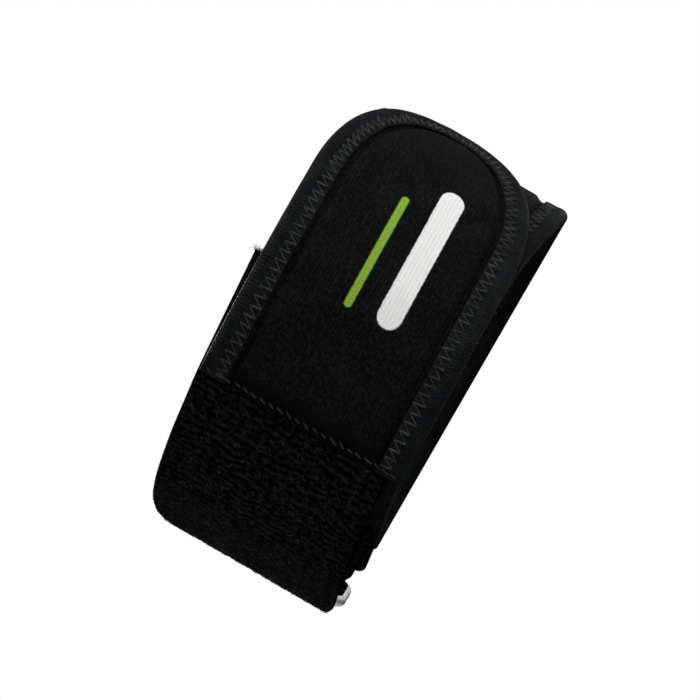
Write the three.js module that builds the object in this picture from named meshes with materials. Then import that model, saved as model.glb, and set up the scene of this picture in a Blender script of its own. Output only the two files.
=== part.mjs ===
// Elbow support strap: a counterforce band, closed as it is worn.
// A bound neoprene band goes round in an oval. A webbing strap is sewn to its front end, runs through a wire
// ring, doubles back over itself and ends under a bound neoprene tab, which sticks to the band.
// It stands on its lower edge. Millimetres, +Z up through the hollow, -Y the side that the tab is on, -X the
// side that the ring is on.
import * as THREE from "three";

// The oval that the inside of the closed strap takes.
const OVAL_HALF_WIDE = 50;
const OVAL_HALF_DEEP = 44;
const OVAL_CURVE = new THREE.EllipseCurve(0, 0, OVAL_HALF_WIDE, OVAL_HALF_DEEP, -Math.PI / 2, 1.5 * Math.PI);
OVAL_CURVE.arcLengthDivisions = 2000;
const OVAL_GIRTH = OVAL_CURVE.getLength();
const OVAL_MEAN_RADIUS = OVAL_GIRTH / (2 * Math.PI);

// Neighbouring layers keep this gap.
const GAP = 0.3;

// Neoprene sheet, in the open and where the edge tape presses it flat.
const FOAM_THICK = 3.6;
const FOAM_PRESSED = 1.8;

// Edge tape, folded over the edge of the neoprene.
const TAPE_THICK = 0.7;
const TAPE_COVER = 6.6;
const TAPE_FOLD_WALL = 0.9;
const TAPE_FOLD_RADIUS = 0.9;
const TAPE_HALF_INSIDE = FOAM_PRESSED / 2 + GAP;
const TAPE_HALF_OUTSIDE = TAPE_HALF_INSIDE + TAPE_THICK;

// Where the neoprene starts inside its tape, and where it swells past the tape's lip to its open thickness.
const FOAM_EDGE = TAPE_FOLD_WALL + GAP;
const FOAM_GROOVE = TAPE_COVER + GAP;
const FOAM_FIELD = FOAM_GROOVE + 1.5;

// The band. Its places along the oval count from the middle of the front, positive towards the tab's tip.
const BAND_WIDTH = 52;
const BAND_FRONT_END = -47;
const BAND_REAR_END = OVAL_GIRTH - 106;
const BAND_STEP = 4;
const BAND_TOP = 2 * TAPE_HALF_OUTSIDE;

// The pull draws the front of the band a little upwards: where most, how far from there all of it and
// none of it, and by how much.
const BAND_DRAWN = { along: 10, full: 18, none: 62, lift: 3.8 };

// The tab, a tongue with a long round tip, which climbs a little. Its lower end is sewn on the strap.
const TAB_LENGTH = 97;
const TAB_WIDTH = 53;
const TAB_TIP = 40;
const TAB_LIFT = 2.7;
const TAB_LEAN = 0.028;
const TAB_LOWER_END = -19.5;
const TAB_SEAM_TAPER = 5;
const TAB_SIDE_STEPS = 16;
const TAB_TIP_STEPS = 11;

// The webbing of the strap and of the ring's loop.
const WEBBING_THICK = 1.6;
const WEBBING_EDGE = 0.4;

// The wire ring. It lies flat beside the oval, with its long bars upright.
const RING_WIRE = 3;
const RING_LENGTH = 49.5;
const RING_WIDTH = 15;
const RING_CORNER = 2.5;
const RING_FOOT = 0.1;
const RING_ALONG = -85.5;
const RING_HEIGHT = 4.8;
const RING_SIDES = 10;
const FOLD_RADIUS = RING_WIRE / 2 + GAP + WEBBING_THICK / 2;
const FOLD_STEPS = 10;

// Heights of the middle of the webbing where it lies on the oval, on the band, and on the webbing there.
const ON_OVAL = GAP + WEBBING_THICK / 2;
const ON_BAND = BAND_TOP + GAP + WEBBING_THICK / 2;
const ON_LAP = ON_BAND + WEBBING_THICK + GAP;

// The strap, a row for each place that shapes it: its way along the oval, the height of its middle above the
// oval, and its lower and upper edges. It is pinched to the ring's opening, and its top end is sewn askew.
const STRAP_UNDER_RUN = [
  { along: -34, height: ON_BAND, lower: 2, upper: 52 },
  { along: -41, height: ON_BAND, lower: 2, upper: 52 },
  { along: -48, height: ON_BAND, lower: 2, upper: 52 },
  { along: -56, height: 1.6, lower: 2.6, upper: 52 },
  { along: -64, height: ON_OVAL, lower: 3.2, upper: 51.4 },
  { along: -72, height: ON_OVAL, lower: 3.8, upper: 48.5 },
];
const AT_RING = { lower: 3.6, upper: 46.1 };
const STRAP_OUTER_RUN = [
  { along: -74, height: 7, lower: 2.6, upper: 47.2 },
  { along: -68, height: 6, lower: 2, upper: 50.4 },
  { along: -62, height: 5.3, lower: 2.2, upper: 52.2 },
  { along: -55, height: 5.9, lower: 2.8, upper: 52.8 },
  { along: -48, height: ON_LAP, lower: 3.4, upper: 53.4 },
  { along: -41, height: ON_LAP, lower: 4.1, upper: 54.1 },
  { along: -34, height: ON_LAP, lower: 4.8, upper: 54.8 },
  { along: -27, height: 5.6, lower: 5.5, upper: 55.5 },
  { along: -20, height: ON_BAND, lower: 6.2, upper: 56.2 },
  { along: -6, height: ON_BAND, lower: 7.1, upper: 57.1 },
  { along: 8, height: ON_BAND, lower: 8.2, upper: 58.2 },
];

// The loop that ties the ring to the band's rear end, both plies sewn on the outside of the band.
const LOOP_INNER_PLY = [
  { along: -124, height: ON_BAND, ...AT_RING },
  { along: -115, height: ON_BAND, ...AT_RING },
  { along: -106, height: ON_BAND, ...AT_RING },
  { along: -100, height: 3.4, ...AT_RING },
];
const LOOP_OUTER_PLY = [
  { along: -100, height: 7, ...AT_RING },
  { along: -106, height: ON_LAP, ...AT_RING },
  { along: -115, height: ON_LAP, ...AT_RING },
  { along: -124, height: ON_LAP, ...AT_RING },
];

// The tab's underside above the oval, over the strap at its lower end and down on the band towards its tip.
const TAB_UNDERSIDE = [
  { along: -30, height: ON_BAND + WEBBING_THICK / 2 + GAP },
  { along: 9, height: ON_BAND + WEBBING_THICK / 2 + GAP },
  { along: 34, height: BAND_TOP + GAP },
  { along: 80, height: BAND_TOP + GAP },
];

const NEOPRENE = new THREE.MeshStandardMaterial({ color: 0x141517, roughness: 0.9, metalness: 0 });
const TAPE = new THREE.MeshStandardMaterial({ color: 0x181b20, roughness: 0.8, metalness: 0 });
const WEBBING = new THREE.MeshStandardMaterial({ color: 0x0c0c0c, roughness: 0.95, metalness: 0 });
const STEEL = new THREE.MeshStandardMaterial({ color: 0xc8c8cc, roughness: 0.2, metalness: 1 });

// The oval at a place along it: a point in plan, the way on along it, and the way out of it.
function ovalAt(along) {
  const share = THREE.MathUtils.euclideanModulo(along / OVAL_GIRTH, 1);
  const point = OVAL_CURVE.getPointAt(share);
  const onward = OVAL_CURVE.getTangentAt(share);
  const outward = new THREE.Vector2(onward.y, -onward.x);
  return { point, onward, outward };
}

// A point in plan at a height above the oval.
function above(along, height) {
  const { point, outward } = ovalAt(along);
  return point.addScaledVector(outward, height);
}

// A point of flat-cut cloth, wrapped round the oval.
function wrap(along, z, height) {
  const { x, y } = above(along, height);
  return new THREE.Vector3(x, y, z);
}

// A smooth step from one row's height to the next.
function heightFrom(rows, along) {
  const next = rows.findIndex((row) => row.along >= along);
  const [from, to] = [rows[next - 1], rows[next]];
  const share = THREE.MathUtils.smoothstep(along, from.along, to.along);
  return THREE.MathUtils.lerp(from.height, to.height, share);
}

function evenly(count, from, to) {
  return Array.from({ length: count + 1 }, (_, i) => from + ((to - from) * i) / count);
}

function signedVolume(positions, triangles) {
  const corner = (i) => new THREE.Vector3().fromArray(positions, 3 * i);
  const volumes = triangles.map(([a, b, c]) => corner(a).dot(corner(b).cross(corner(c))) / 6);
  return volumes.reduce((sum, volume) => sum + volume, 0);
}

// Skins a row of loops of points, all of one length. The first and last loops are closed with the cap's
// triangles, and with no cap the last loop joins the first.
function skin(loops, cap) {
  const count = loops[0].length;
  const positions = loops.flat().flatMap((point) => point.toArray());
  const triangles = [];
  const lastRow = cap ? loops.length - 1 : loops.length;
  for (let row = 0; row < lastRow; row++) {
    const here = row * count;
    const there = ((row + 1) % loops.length) * count;
    for (let i = 0; i < count; i++) {
      const next = (i + 1) % count;
      triangles.push([here + i, here + next, there + next]);
      triangles.push([here + i, there + next, there + i]);
    }
  }
  const lastLoop = positions.length / 3 - count;
  for (const [a, b, c] of cap ?? []) {
    triangles.push([a, c, b]);
    triangles.push([lastLoop + a, lastLoop + b, lastLoop + c]);
  }
  const facesOut = signedVolume(positions, triangles) > 0;
  const corners = triangles.flatMap(([a, b, c]) => (facesOut ? [a, b, c] : [a, c, b]));
  const geometry = new THREE.BufferGeometry();
  geometry.setAttribute("position", new THREE.Float32BufferAttribute(positions, 3));
  geometry.setIndex(corners);
  geometry.computeVertexNormals();
  return geometry;
}

// Sweeps a flat profile through stations, each a function that places a point of the profile.
function sweep(profile, stations) {
  const loop = THREE.ShapeUtils.isClockWise(profile) ? profile.toReversed() : profile;
  const cap = THREE.ShapeUtils.triangulateShape(loop, []);
  return skin(stations.map((place) => loop.map(place)), cap);
}

function profileOf(rows) {
  return rows.map(([inset, rise]) => new THREE.Vector2(inset, rise));
}

// Half of the neoprene's section, from its edge in the tape to its open field: how far in, and half as thick.
const FOAM_SECTION = [
  { inset: FOAM_EDGE, rise: FOAM_PRESSED / 2 },
  { inset: FOAM_GROOVE, rise: FOAM_PRESSED / 2 },
  { inset: FOAM_FIELD, rise: FOAM_THICK / 2 },
];

// The tape's section: a U round the pressed edge, with a rounded fold that is flat at its foot.
function tapeProfile() {
  const out = TAPE_HALF_OUTSIDE;
  const inside = TAPE_HALF_INSIDE;
  const round = TAPE_FOLD_RADIUS;
  const bevel = round * (1 - Math.SQRT1_2);
  return profileOf([
    [TAPE_COVER, -out],
    [round, -out],
    [bevel, bevel - out],
    [0, round - out],
    [0, out - round],
    [bevel, out - bevel],
    [round, out],
    [TAPE_COVER, out],
    [TAPE_COVER, inside],
    [TAPE_FOLD_WALL, inside],
    [TAPE_FOLD_WALL, -inside],
    [TAPE_COVER, -inside],
  ]);
}

function bandStations() {
  const steps = Math.round((BAND_REAR_END - BAND_FRONT_END) / BAND_STEP);
  return evenly(steps, BAND_FRONT_END, BAND_REAR_END);
}

// How far the band is drawn upwards at a place along the oval.
function bandLift(along) {
  const { full, none, lift } = BAND_DRAWN;
  return lift * (1 - THREE.MathUtils.smoothstep(Math.abs(along - BAND_DRAWN.along), full, none));
}

function onBand(along, z, height) {
  return wrap(along, z + bandLift(along), height);
}

function bandPanel() {
  const lowerSide = FOAM_SECTION.map(({ inset, rise }) => [inset, -rise]);
  const upperSide = FOAM_SECTION.map(({ inset, rise }) => [BAND_WIDTH - inset, -rise]).reverse();
  const under = [...lowerSide, ...upperSide];
  const over = under.map(([z, rise]) => [z, -rise]).reverse();
  const profile = profileOf([...under, ...over]);
  const middle = TAPE_HALF_OUTSIDE;
  return sweep(profile, bandStations().map((along) => ({ x, y }) => onBand(along, x, middle + y)));
}

// One of the band's two edge tapes. zOf turns a distance in from the edge to a height over the floor.
function bandTape(zOf) {
  const middle = TAPE_HALF_OUTSIDE;
  const stations = bandStations().map((along) => ({ x, y }) => onBand(along, zOf(x), middle + y));
  return sweep(tapeProfile(), stations);
}

// A point of the flat tab, wrapped in its place: up its length from the seam, across from its middle line,
// and out from the middle of its thickness. Cloth that lies high covers less of the oval than its length.
function onTab(up, across, rise) {
  const stretch = 1 + (BAND_TOP + GAP + TAPE_HALF_OUTSIDE) / OVAL_MEAN_RADIUS;
  const along = TAB_LOWER_END + up / stretch;
  const middle = heightFrom(TAB_UNDERSIDE, along) + TAPE_HALF_OUTSIDE;
  return wrap(along, TAB_LIFT + TAB_WIDTH / 2 + TAB_LEAN * up + across, middle + rise);
}

// The tab's outline moved in by an inset, from the seam's one end round the tip to its other end.
function tabOutline(inset, seamInset) {
  const halfWide = TAB_WIDTH / 2 - inset;
  const tipStart = TAB_LENGTH - TAB_TIP;
  const side = evenly(TAB_SIDE_STEPS, seamInset, tipStart).map((up) => ({ up, across: halfWide }));
  const tip = evenly(TAB_TIP_STEPS, 0, Math.PI / 2).slice(1, -1).map((angle) => ({
    up: tipStart + (TAB_TIP - inset) * Math.sin(angle),
    across: halfWide * Math.cos(angle),
  }));
  const half = [...side, ...tip];
  const otherHalf = half.map(({ up, across }) => ({ up, across: -across })).reverse();
  return [...half, ...otherHalf];
}

// Triangles across a loop that runs up one side and comes back down the other.
function capAcross(count) {
  const rungs = evenly(count / 2 - 2, 0, count / 2 - 2);
  return rungs.flatMap((i) => [
    [i, i + 1, count - 2 - i],
    [i, count - 2 - i, count - 1 - i],
  ]);
}

function tabPanel() {
  const seamInsets = [0, TAB_SEAM_TAPER / 2, TAB_SEAM_TAPER];
  const levels = FOAM_SECTION.map((level, i) => ({ ...level, seamInset: seamInsets[i] }));
  const under = levels.map((level) => ({ ...level, rise: -level.rise })).reverse();
  const loops = [...under, ...levels].map(({ inset, seamInset, rise }) =>
    tabOutline(inset, seamInset).map(({ up, across }) => onTab(up, across, rise)),
  );
  return skin(loops, capAcross(loops[0].length));
}

function tabTape() {
  const profile = tapeProfile();
  const outlines = new Map(profile.map(({ x }) => [x, tabOutline(x, 0)]));
  const count = outlines.get(0).length;
  const stations = evenly(count - 1, 0, count - 1).map((i) => ({ x, y }) => {
    const { up, across } = outlines.get(x)[i];
    return onTab(up, across, y);
  });
  return sweep(profile, stations);
}

// The ring's frame in plan: its centre, the way along its width towards the front bar, and the way out.
const RING_FRAME = {
  centre: above(RING_ALONG, RING_HEIGHT),
  onward: ovalAt(RING_ALONG).onward,
  outward: ovalAt(RING_ALONG).outward,
};
const RING_BAR_OFFSET = (RING_WIDTH - RING_WIRE) / 2;

// The ring lies in its own xz plane, x along its width and z along its length, with its foot at z 0.
function ring() {
  const halfWide = RING_BAR_OFFSET - RING_CORNER;
  const halfLong = (RING_LENGTH - RING_WIRE) / 2 - RING_CORNER;
  const cornerSteps = 6;
  const corners = [
    { x: halfWide, z: halfLong, turn: 0 },
    { x: -halfWide, z: halfLong, turn: 1 },
    { x: -halfWide, z: -halfLong, turn: 2 },
    { x: halfWide, z: -halfLong, turn: 3 },
  ];
  const bends = corners.flatMap(({ x, z, turn }) =>
    evenly(cornerSteps, turn, turn + 1).map((quarters) => ({ x, z, angle: (quarters * Math.PI) / 2 })),
  );
  const round = evenly(RING_SIDES, 0, 2 * Math.PI).slice(0, -1);
  const loops = bends.map(({ x, z, angle }) =>
    round.map((side) => {
      const reach = RING_CORNER + (RING_WIRE / 2) * Math.cos(side);
      const rise = (RING_WIRE / 2) * Math.sin(side);
      const foot = z + reach * Math.sin(angle) + RING_LENGTH / 2;
      return new THREE.Vector3(x + reach * Math.cos(angle), rise, foot);
    }),
  );
  return skin(loops);
}

// A fold of webbing half round one of the ring's bars, from the inner side to the outer side. The bar is
// in front of the ring's middle (side 1) or to the rear of it (side -1), and the fold is inside the ring.
function foldRows(side, edges) {
  const { centre, onward, outward } = RING_FRAME;
  return evenly(FOLD_STEPS, 0, Math.PI).map((angle) => {
    const plan = centre.clone().addScaledVector(onward, side * RING_BAR_OFFSET);
    plan.addScaledVector(onward, -side * FOLD_RADIUS * Math.sin(angle));
    plan.addScaledVector(outward, -FOLD_RADIUS * Math.cos(angle));
    return { plan, ...edges };
  });
}

// A smooth run of rows, from point to point of a lower and an upper edge.
function runRows(rows, steps) {
  const edge = (name) =>
    new THREE.CatmullRomCurve3(
      rows.map((row) => new THREE.Vector3(row.plan.x, row.plan.y, row[name])),
      false,
      "catmullrom",
    );
  const [lower, upper] = [edge("lower"), edge("upper")];
  return evenly(steps, 0, 1).map((share) => {
    const { x, y, z } = lower.getPoint(share);
    return { plan: new THREE.Vector2(x, y), lower: z, upper: upper.getPoint(share).z };
  });
}

function planned(rows) {
  return rows.map((row) => ({ ...row, plan: above(row.along, row.height) }));
}

// Webbing that runs in along the oval, folds round a bar of the ring and runs out again.
function foldedWebbing({ runIn, fold, runOut, runInSteps, runOutSteps }) {
  const first = fold[0];
  const last = fold.at(-1);
  const way = [
    ...runRows([...planned(runIn), first], runInSteps).slice(0, -1),
    ...fold,
    ...runRows([last, ...planned(runOut)], runOutSteps).slice(1),
  ];
  const half = WEBBING_THICK / 2;
  const loops = way.map(({ plan, lower, upper }, i) => {
    const before = way[Math.max(i - 1, 0)].plan;
    const after = way[Math.min(i + 1, way.length - 1)].plan;
    const onward = after.clone().sub(before).normalize();
    const at = (z, rise) => new THREE.Vector3(plan.x + rise * onward.y, plan.y - rise * onward.x, z);
    return [
      at(lower + WEBBING_EDGE, -half),
      at(lower, 0),
      at(lower + WEBBING_EDGE, half),
      at(upper - WEBBING_EDGE, half),
      at(upper, 0),
      at(upper - WEBBING_EDGE, -half),
    ];
  });
  const cap = [
    [0, 1, 2],
    [0, 2, 3],
    [0, 3, 5],
    [3, 4, 5],
  ];
  return skin(loops, cap);
}

function piece(name, geometry, material) {
  const mesh = new THREE.Mesh(geometry, material);
  mesh.name = name;
  return mesh;
}

const strap = new THREE.Group();
strap.add(piece("band_panel", bandPanel(), NEOPRENE));
strap.add(piece("band_tape_lower", bandTape((inset) => inset), TAPE));
strap.add(piece("band_tape_upper", bandTape((inset) => BAND_WIDTH - inset), TAPE));
strap.add(piece("tab_panel", tabPanel(), NEOPRENE));
strap.add(piece("tab_tape", tabTape(), TAPE));
strap.add(
  piece(
    "pull_strap",
    foldedWebbing({
      runIn: STRAP_UNDER_RUN,
      fold: foldRows(1, AT_RING),
      runOut: STRAP_OUTER_RUN,
      runInSteps: 18,
      runOutSteps: 33,
    }),
    WEBBING,
  ),
);
strap.add(
  piece(
    "ring_loop",
    foldedWebbing({
      runIn: LOOP_INNER_PLY,
      fold: foldRows(-1, AT_RING),
      runOut: LOOP_OUTER_PLY,
      runInSteps: 12,
      runOutSteps: 12,
    }),
    WEBBING,
  ),
);
const wireRing = piece("ring", ring(), STEEL);
wireRing.position.set(RING_FRAME.centre.x, RING_FRAME.centre.y, RING_FOOT);
wireRing.rotation.z = RING_FRAME.onward.angle();
strap.add(wireRing);

// The part's origin is on the floor, under the middle of the strap's box.
const box = new THREE.Box3().setFromObject(strap, true);
const middle = box.getCenter(new THREE.Vector3());
strap.position.set(-middle.x, -middle.y, -box.min.z);

const part = new THREE.Group();
part.add(strap);
export default part;
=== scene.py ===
import math

import bmesh
import bpy
import numpy as np
from mathutils import Matrix, Vector


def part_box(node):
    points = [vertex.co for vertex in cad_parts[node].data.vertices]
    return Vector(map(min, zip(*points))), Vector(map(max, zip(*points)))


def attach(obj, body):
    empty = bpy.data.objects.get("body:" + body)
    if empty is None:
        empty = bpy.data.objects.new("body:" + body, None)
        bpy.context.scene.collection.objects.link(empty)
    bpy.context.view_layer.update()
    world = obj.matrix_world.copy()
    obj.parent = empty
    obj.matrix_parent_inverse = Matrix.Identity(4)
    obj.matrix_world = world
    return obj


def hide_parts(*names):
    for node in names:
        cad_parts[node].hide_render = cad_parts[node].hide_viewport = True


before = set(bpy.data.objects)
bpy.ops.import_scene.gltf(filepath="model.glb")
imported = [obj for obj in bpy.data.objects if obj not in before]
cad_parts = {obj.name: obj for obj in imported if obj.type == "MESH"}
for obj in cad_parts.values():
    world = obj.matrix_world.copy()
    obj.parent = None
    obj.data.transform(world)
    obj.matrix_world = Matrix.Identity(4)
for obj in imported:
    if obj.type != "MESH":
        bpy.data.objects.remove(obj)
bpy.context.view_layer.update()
MM = 0.001

# The band's neoprene
# Foam rubber with a knitted nylon face on both sides, cut as one straight strip and bent round to an oval.
# Its long edges are pressed thin where they are bound and stitched, and the foam swells past the stitches.
OVAL_HALF_WIDE = 50 * MM
OVAL_HALF_DEEP = 44 * MM
EDGE_HALF = 1.9 * MM
BAND_WIDTH = 52 * MM
BAND_FRONT_END = -47 * MM
BAND_REAR_GAP = 106 * MM
BAND_DRAWN_AT = 10 * MM
BAND_DRAWN_ALL = 18 * MM
BAND_DRAWN_NONE = 62 * MM
BAND_DRAWN = 3.8 * MM
BAND_FIELD_STEP = 2 * MM
FOAM_EDGE = 1.2 * MM
FOAM_GROOVE = 7.3 * MM
FOAM_FIELD = 9.6 * MM
FOAM_HALF_PRESSED = 0.9 * MM
FOAM_HALF_OPEN = 1.8 * MM
FOAM_CROWN = 0.35 * MM
FOAM_CROWN_FULL = 2.6 * FOAM_FIELD
BAND_GROOVE = 0.1 * MM
GROOVE_WIDTH = 0.75 * MM
GROOVE_STEP = 0.28 * MM
STITCH_PITCH = 2.3 * MM
STITCH_STEP = STITCH_PITCH / 4
STITCH_DIMPLE = 0.16 * MM
RIPPLE_WAVES = 14
RIPPLE_SPREAD = (0.7, 1.5)
CREASE_INSIDE = 0.30 * MM
CREASE_INSIDE_SIZE = 8 * MM
CREASE_DRAWN_OUT = 0.22
CREASE_OUTSIDE = 0.12 * MM
CREASE_OUTSIDE_SIZE = 26 * MM
KNIT_COLOUR = (0.0005, 0.0006, 0.0007, 1)
KNIT_DUSTY = (0.0063, 0.0069, 0.0069, 1)
KNIT_DUST_LIMITS = (0.44, 0.63)
KNIT_RELIEF = 0.16 * MM
# The knit's columns and rows of loops, in millimetres of the flat cut.
WALE_PITCH = 0.92
COURSE_PITCH = 0.74
WALE_SWAY = 0.14
KNIT_DIP = 0.35


class PlanLine:
    """A line in plan that cloth is laid along, by how far along it and how far out of it."""

    def __init__(self, points, start=0.0):
        onward = np.gradient(points, axis=0)
        onward /= np.linalg.norm(onward, axis=1)[:, None]
        steps = np.linalg.norm(np.diff(points, axis=0), axis=1)
        self.lengths = start + np.concatenate(([0.0], np.cumsum(steps)))
        self.columns = np.column_stack((points, onward[:, 1], -onward[:, 0])).T

    def at(self, along, out):
        x, y, out_x, out_y = (np.interp(along, self.lengths, column) for column in self.columns)
        return x + out * out_x, y + out * out_y


# The oval inside the band, from half a turn before the middle of its front to a whole turn after it.
tape_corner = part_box("band_tape_lower")[1]
oval_x = tape_corner.x - OVAL_HALF_WIDE - 2 * EDGE_HALF
oval_y = tape_corner.y - OVAL_HALF_DEEP - 2 * EDGE_HALF
oval_turns = np.linspace(-1.5 * np.pi, 1.5 * np.pi, 6001)
oval_points = np.column_stack(
    (oval_x + OVAL_HALF_WIDE * np.cos(oval_turns), oval_y + OVAL_HALF_DEEP * np.sin(oval_turns))
)
oval_girth = PlanLine(oval_points).lengths[-1] / 1.5
oval = PlanLine(oval_points, start=-oval_girth / 2)


def even_places(start, end, step):
    return np.linspace(start, end, 2 + int(abs(end - start) / step))


def read_points(bm):
    return np.array([vert.co for vert in bm.verts]).T


def move_points(bm, x, y, z):
    for vert, place in zip(bm.verts, np.column_stack((x, y, z))):
        vert.co = place


def flat_layer(places_along, places_across):
    """A flat layer of cloth with grid lines at these places."""
    bm = bmesh.new()
    bmesh.ops.create_grid(bm, x_segments=len(places_along) - 1, y_segments=len(places_across) - 1, size=0.5)
    x, y, z = read_points(bm)
    x = np.interp(x + 0.5, np.linspace(0, 1, len(places_along)), places_along)
    y = np.interp(y + 0.5, np.linspace(0, 1, len(places_across)), places_across)
    move_points(bm, x, y, z)
    return bm


def two_faces(bm):
    """Gives a flat layer its other face, the outer at z 1 and the inner at z -1 until it gets a thickness."""
    bmesh.ops.recalc_face_normals(bm, faces=bm.faces[:])
    bmesh.ops.solidify(bm, geom=bm.faces[:], thickness=2)
    x, y, z = read_points(bm)
    move_points(bm, x, y, np.sign(z - z.mean()))
    return bm


def mark_cut(bm):
    """Keeps the flat places as a UV map in millimetres, for patterns that follow the cloth."""
    layer = bm.loops.layers.uv.new("cloth")
    for face in bm.faces:
        for loop in face.loops:
            loop[layer].uv = (loop.vert.co.x / MM, loop.vert.co.y / MM)
    return bm


def smooth_rise(value, start, end):
    share = np.clip((value - start) / (end - start), 0, 1)
    return share * share * (3 - 2 * share)


def ripple(x, y, size, seed):
    """Soft unevenness between about -1 and 1, with waves of about this size."""
    draw = np.random.default_rng(seed)
    total = np.zeros_like(x)
    for _ in range(RIPPLE_WAVES):
        turn, phase = draw.uniform(0, 2 * np.pi, 2)
        length = size * draw.uniform(*RIPPLE_SPREAD)
        total += np.sin(2 * np.pi * (x * math.cos(turn) + y * math.sin(turn)) / length + phase)
    return total / math.sqrt(RIPPLE_WAVES)


def on_band(along, out, z):
    """Bends a place of the flat band round the oval. The pull draws the band's front a little upwards."""
    undrawn = smooth_rise(np.abs(along - BAND_DRAWN_AT), BAND_DRAWN_ALL, BAND_DRAWN_NONE)
    return *oval.at(along, out), z + BAND_DRAWN * (1 - undrawn)


def foam_half(inset, along, depth):
    """Half the foam's thickness, in from its stitched edge, with a groove of this depth at the stitches."""
    swell = smooth_rise(inset, FOAM_GROOVE, FOAM_FIELD)
    crown = FOAM_CROWN * smooth_rise(inset, FOAM_FIELD, FOAM_CROWN_FULL)
    groove = np.exp(-(((inset - FOAM_GROOVE) / GROOVE_WIDTH) ** 2))
    pull = groove * (depth + STITCH_DIMPLE * np.cos(2 * np.pi * along / STITCH_PITCH))
    return FOAM_HALF_PRESSED + (FOAM_HALF_OPEN - FOAM_HALF_PRESSED) * swell + crown - pull


class Shade:
    """A socket of a shader tree. Arithmetic on it adds Math nodes, and node() adds any other node."""

    def __init__(self, tree, socket=None):
        self.tree = tree
        self.socket = socket

    def node(self, kind, settings=(), sockets=(), out=0):
        made = self.tree.nodes.new(kind)
        for name, value in dict(settings).items():
            setattr(made, name, value)
        for key, value in dict(sockets).items():
            if isinstance(value, Shade):
                self.tree.links.new(value.socket, made.inputs[key])
            else:
                made.inputs[key].default_value = value
        return Shade(self.tree, made.outputs[out])

    def math(self, operation, *values):
        return self.node("ShaderNodeMath", {"operation": operation}, dict(enumerate(values)))

    def mix(self, first, second):
        """A colour between two others, by this value."""
        return self.node("ShaderNodeMix", {"data_type": "RGBA"}, {0: self, 6: first, 7: second}, out=2)

    def __add__(self, other):
        return self.math("ADD", self, other)

    def __sub__(self, other):
        return self.math("SUBTRACT", self, other)

    def __rsub__(self, other):
        return self.math("SUBTRACT", other, self)

    def __mul__(self, other):
        return self.math("MULTIPLY", self, other)

    def __abs__(self):
        return self.math("ABSOLUTE", self)

    __radd__ = __add__
    __rmul__ = __mul__


def start_finish(name, fixed):
    """A new material with the values that are the same all over its surface."""
    material = bpy.data.materials.new(name)
    material.use_nodes = True
    shader = material.node_tree.nodes["Principled BSDF"]
    for socket, value in fixed.items():
        shader.inputs[socket].default_value = value
    return material, shader, Shade(material.node_tree)


def feed(shader, sources):
    for socket, source in sources.items():
        source.tree.links.new(source.socket, shader.inputs[socket])


def cloth_measures(tree):
    """How far along and across the flat cut, in millimetres, and both as one vector."""
    flat = tree.node("ShaderNodeUVMap", {"uv_map": "cloth"})
    along = flat.node("ShaderNodeSeparateXYZ", sockets={0: flat})
    across = Shade(flat.tree, along.socket.node.outputs[1])
    return along, across, flat


def specks(tree, place, scale, detail=2.0, roughness=0.6):
    sockets = {"Vector": place, "Scale": scale, "Detail": detail, "Roughness": roughness}
    return tree.node("ShaderNodeTexNoise", sockets=sockets)


def between(value, low, high):
    """The value's place between two limits, held from 0 to 1."""
    sockets = {"Value": value, "From Min": low, "From Max": high}
    return value.node("ShaderNodeMapRange", {"clamp": True}, sockets)


def wave(value, pitch):
    """A ridge at every pitch, from -1 to 1."""
    turns = value * (2 * math.pi / pitch)
    return turns.math("SINE", turns)


def bump(height, strength, distance):
    sockets = {"Strength": strength, "Distance": distance, "Height": height}
    return height.node("ShaderNodeBump", sockets=sockets)


def knit_finish(name):
    """Knitted nylon: fine columns of loops along the strip, slightly fuzzy and a little dusty."""
    material, shader, tree = start_finish(
        name,
        {
            "Specular IOR Level": 0.03,
            "Sheen Weight": 0.004,
            "Sheen Roughness": 0.4,
            "Sheen Tint": (0.75, 0.86, 1.0, 1.0),
        },
    )
    along, across, flat = cloth_measures(tree)
    course = wave(along, COURSE_PITCH)
    loops = wave(across + course * WALE_SWAY, WALE_PITCH) * (course * KNIT_DIP + (1 - KNIT_DIP))
    fuzz = specks(tree, flat, 1.0, detail=4.0, roughness=0.75)
    patches = specks(tree, flat, 0.09, detail=4.0, roughness=0.65)
    dust = between(patches * 0.25 + fuzz * 0.75 + loops * 0.05, *KNIT_DUST_LIMITS)
    return material, shader, {
        "Base Color": dust.mix(KNIT_COLOUR, KNIT_DUSTY),
        "Roughness": fuzz * 0.3 + 0.6,
        "Normal": bump(loops * 0.5 + fuzz * 0.9, 0.8, KNIT_RELIEF),
    }


def add_piece(bm, name, material):
    mesh = bpy.data.meshes.new(name)
    bmesh.ops.recalc_face_normals(bm, faces=bm.faces[:])
    bm.to_mesh(mesh)
    bm.free()
    mesh.shade_smooth()
    mesh.materials.append(material)
    piece = bpy.data.objects.new(name, mesh)
    bpy.context.collection.objects.link(piece)
    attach(piece, "root")
    return piece


knit_black, shader, sources = knit_finish("knit_black")
feed(shader, sources)

# Places in from a bound edge are few under the tape and close together over the groove.
groove_start = FOAM_GROOVE - GROOVE_WIDTH
edge_places = np.concatenate(
    (np.linspace(FOAM_EDGE, groove_start, 4)[:-1], even_places(groove_start, FOAM_FIELD, GROOVE_STEP))
)
band_rear_end = oval_girth - BAND_REAR_GAP
band_length = band_rear_end - BAND_FRONT_END
band_along = even_places(BAND_FRONT_END, band_rear_end, STITCH_STEP)
band_middle = even_places(FOAM_FIELD, BAND_WIDTH - FOAM_FIELD, BAND_FIELD_STEP)[1:-1]
band_across = np.concatenate((edge_places, band_middle, BAND_WIDTH - edge_places[::-1]))
bm = mark_cut(two_faces(flat_layer(band_along, band_across)))
x, y, side = read_points(bm)
inset = np.minimum(y, BAND_WIDTH - y)
half = foam_half(inset, x - BAND_FRONT_END, BAND_GROOVE)

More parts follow.
